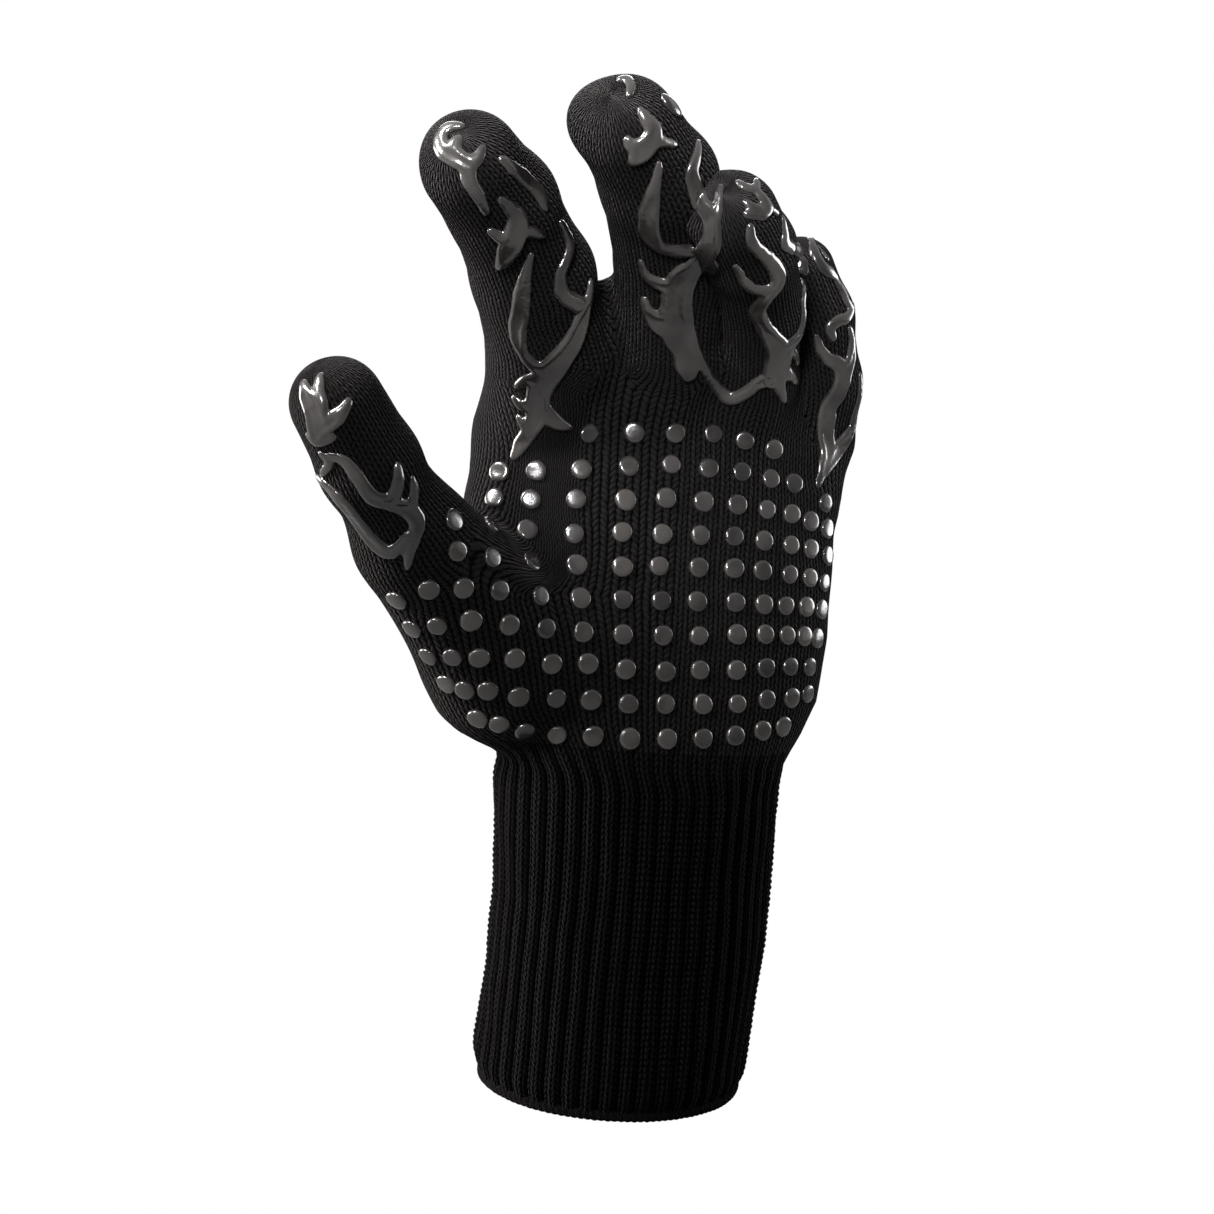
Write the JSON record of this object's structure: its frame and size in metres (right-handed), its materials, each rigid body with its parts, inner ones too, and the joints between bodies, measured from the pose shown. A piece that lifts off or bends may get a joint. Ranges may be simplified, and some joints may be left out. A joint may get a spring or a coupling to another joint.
{
  "type": "heat resistant oven and barbecue glove",
  "caption": "Left-hand knitted heat-resistant glove with a long ribbed cuff, soft liner, and raised silicone dots and flame-shaped grip prints on the palm side.",
  "frame": {"origin": "centre of the cuff opening, on the plane of the rolled hem", "axes": "+Z from the hem along the cuff towards the fingers, -Y out of the palm side, -X towards the thumb"},
  "size_m": [0.1607, 0.1131, 0.2545],
  "materials": {
    "rib_knit": "matte 1x1 rib knit, aramid yarn",
    "shell_knit": "matte plain knit, aramid yarn",
    "hem_thread": "matte overlock thread",
    "cotton_liner": "matte jersey",
    "silicone": "glossy, slightly translucent moulded silicone"
  },
  "bodies": {
    "cuff": {"cuff_hem_binding": "hem_thread", "cuff_rib_knit": "rib_knit", "cuff_liner": "cotton_liner"},
    "hand": {"hand_knit": "shell_knit", "hand_liner": "cotton_liner", "palm_grip_dots": "silicone", "palm_flame_print": "silicone"},
    "thumb_proximal": {"thumb_proximal_knit": "shell_knit", "thumb_proximal_liner": "cotton_liner", "thumb_proximal_print": "silicone"},
    "thumb_distal": {"thumb_distal_knit": "shell_knit", "thumb_distal_liner": "cotton_liner", "thumb_distal_print": "silicone"},
    "index_proximal": {"index_proximal_knit": "shell_knit", "index_proximal_liner": "cotton_liner", "index_proximal_print": "silicone"},
    "index_middle": {"index_middle_knit": "shell_knit", "index_middle_liner": "cotton_liner", "index_middle_print": "silicone"},
    "index_distal": {"index_distal_knit": "shell_knit", "index_distal_liner": "cotton_liner", "index_distal_print": "silicone"},
    "middle_proximal": {"middle_proximal_knit": "shell_knit", "middle_proximal_liner": "cotton_liner", "middle_proximal_print": "silicone"},
    "middle_middle": {"middle_middle_knit": "shell_knit", "middle_middle_liner": "cotton_liner", "middle_middle_print": "silicone"},
    "middle_distal": {"middle_distal_knit": "shell_knit", "middle_distal_liner": "cotton_liner", "middle_distal_print": "silicone"},
    "ring_proximal": {"ring_proximal_knit": "shell_knit", "ring_proximal_liner": "cotton_liner", "ring_proximal_print": "silicone"},
    "ring_middle": {"ring_middle_knit": "shell_knit", "ring_middle_liner": "cotton_liner", "ring_middle_print": "silicone"},
    "ring_distal": {"ring_distal_knit": "shell_knit", "ring_distal_liner": "cotton_liner", "ring_distal_print": "silicone"},
    "little_proximal": {"little_proximal_knit": "shell_knit", "little_proximal_liner": "cotton_liner", "little_proximal_print": "silicone"},
    "little_middle": {"little_middle_knit": "shell_knit", "little_middle_liner": "cotton_liner", "little_middle_print": "silicone"},
    "little_distal": {"little_distal_knit": "shell_knit", "little_distal_liner": "cotton_liner", "little_distal_print": "silicone"}
  },
  "joints": [
    {"name": "wrist_bend", "type": "hinge", "parent": "cuff", "child": "hand", "pos_m": [0, 0, 0.094], "axis": [1, 0, 0], "range_deg": [-18, 18], "stiffness_Nm_per_rad": 0.05},
    {"name": "thumb_root_bend", "type": "hinge", "parent": "hand", "child": "thumb_proximal", "pos_m": [-0.072, -0.0248, 0.1473], "axis": [0.8297, -0.0965, 0.5498], "range_deg": [-10, 28], "stiffness_Nm_per_rad": 0.02},
    {"name": "thumb_end_bend", "type": "hinge", "parent": "thumb_proximal", "child": "thumb_distal", "pos_m": [-0.08578, -0.03911, 0.16559], "axis": [0.8512, -0.0942, 0.5163], "range_deg": [-8, 40], "stiffness_Nm_per_rad": 0.01},
    {"name": "index_root_bend", "type": "hinge", "parent": "hand", "child": "index_proximal", "pos_m": [-0.0386, -0.0143, 0.2], "axis": [0.9204, -0.1993, 0.3362], "range_deg": [-10, 28], "stiffness_Nm_per_rad": 0.02},
    {"name": "index_middle_bend", "type": "hinge", "parent": "index_proximal", "child": "index_middle", "pos_m": [-0.04839, -0.03203, 0.2163], "axis": [0.8757, -0.3801, 0.298], "range_deg": [-8, 40], "stiffness_Nm_per_rad": 0.01},
    {"name": "index_end_bend", "type": "hinge", "parent": "index_middle", "child": "index_distal", "pos_m": [-0.06087, -0.05165, 0.22793], "axis": [0.8757, -0.3801, 0.298], "range_deg": [-4.8, 24], "stiffness_Nm_per_rad": 0.01},
    {"name": "middle_root_bend", "type": "hinge", "parent": "hand", "child": "middle_proximal", "pos_m": [-0.0076, -0.015, 0.2039], "axis": [0.9567, -0.2453, 0.1566], "range_deg": [-10, 28], "stiffness_Nm_per_rad": 0.02},
    {"name": "middle_middle_bend", "type": "hinge", "parent": "middle_proximal", "child": "middle_middle", "pos_m": [-0.01552, -0.03337, 0.22349], "axis": [0.8847, -0.3652, 0.2897], "range_deg": [-8, 40], "stiffness_Nm_per_rad": 0.01},
    {"name": "middle_end_bend", "type": "hinge", "parent": "middle_middle", "child": "middle_distal", "pos_m": [-0.02939, -0.05635, 0.23689], "axis": [0.8847, -0.3652, 0.2897], "range_deg": [-4.8, 24], "stiffness_Nm_per_rad": 0.01},
    {"name": "ring_root_bend", "type": "hinge", "parent": "hand", "child": "ring_proximal", "pos_m": [0.0192, -0.0127, 0.2004], "axis": [0.9573, -0.2533, 0.1392], "range_deg": [-10, 28], "stiffness_Nm_per_rad": 0.02},
    {"name": "ring_middle_bend", "type": "hinge", "parent": "ring_proximal", "child": "ring_middle", "pos_m": [0.01228, -0.03032, 0.21595], "axis": [0.9074, -0.3656, 0.2075], "range_deg": [-8, 40], "stiffness_Nm_per_rad": 0.01},
    {"name": "ring_end_bend", "type": "hinge", "parent": "ring_middle", "child": "ring_distal", "pos_m": [0.00116, -0.05203, 0.22631], "axis": [0.9074, -0.3656, 0.2075], "range_deg": [-4.8, 24], "stiffness_Nm_per_rad": 0.01},
    {"name": "little_root_bend", "type": "hinge", "parent": "hand", "child": "little_proximal", "pos_m": [0.0448, 0.0022, 0.1861], "axis": [0.9278, 0.2507, 0.2763], "range_deg": [-10, 28], "stiffness_Nm_per_rad": 0.02},
    {"name": "little_middle_bend", "type": "hinge", "parent": "little_proximal", "child": "little_middle", "pos_m": [0.04229, -0.00597, 0.20194], "axis": [0.8663, 0.1696, 0.4698], "range_deg": [-8, 40], "stiffness_Nm_per_rad": 0.01},
    {"name": "little_end_bend", "type": "hinge", "parent": "little_middle", "child": "little_distal", "pos_m": [0.03529, -0.01591, 0.21845], "axis": [0.8663, 0.1696, 0.4698], "range_deg": [-4.8, 24], "stiffness_Nm_per_rad": 0.01}
  ],
  "couplings": [
    {"joint": "index_end_bend", "follows": "index_middle_bend", "ratio": 0.6},
    {"joint": "middle_end_bend", "follows": "middle_middle_bend", "ratio": 0.6},
    {"joint": "ring_end_bend", "follows": "ring_middle_bend", "ratio": 0.6},
    {"joint": "little_end_bend", "follows": "little_middle_bend", "ratio": 0.6}
  ]
}
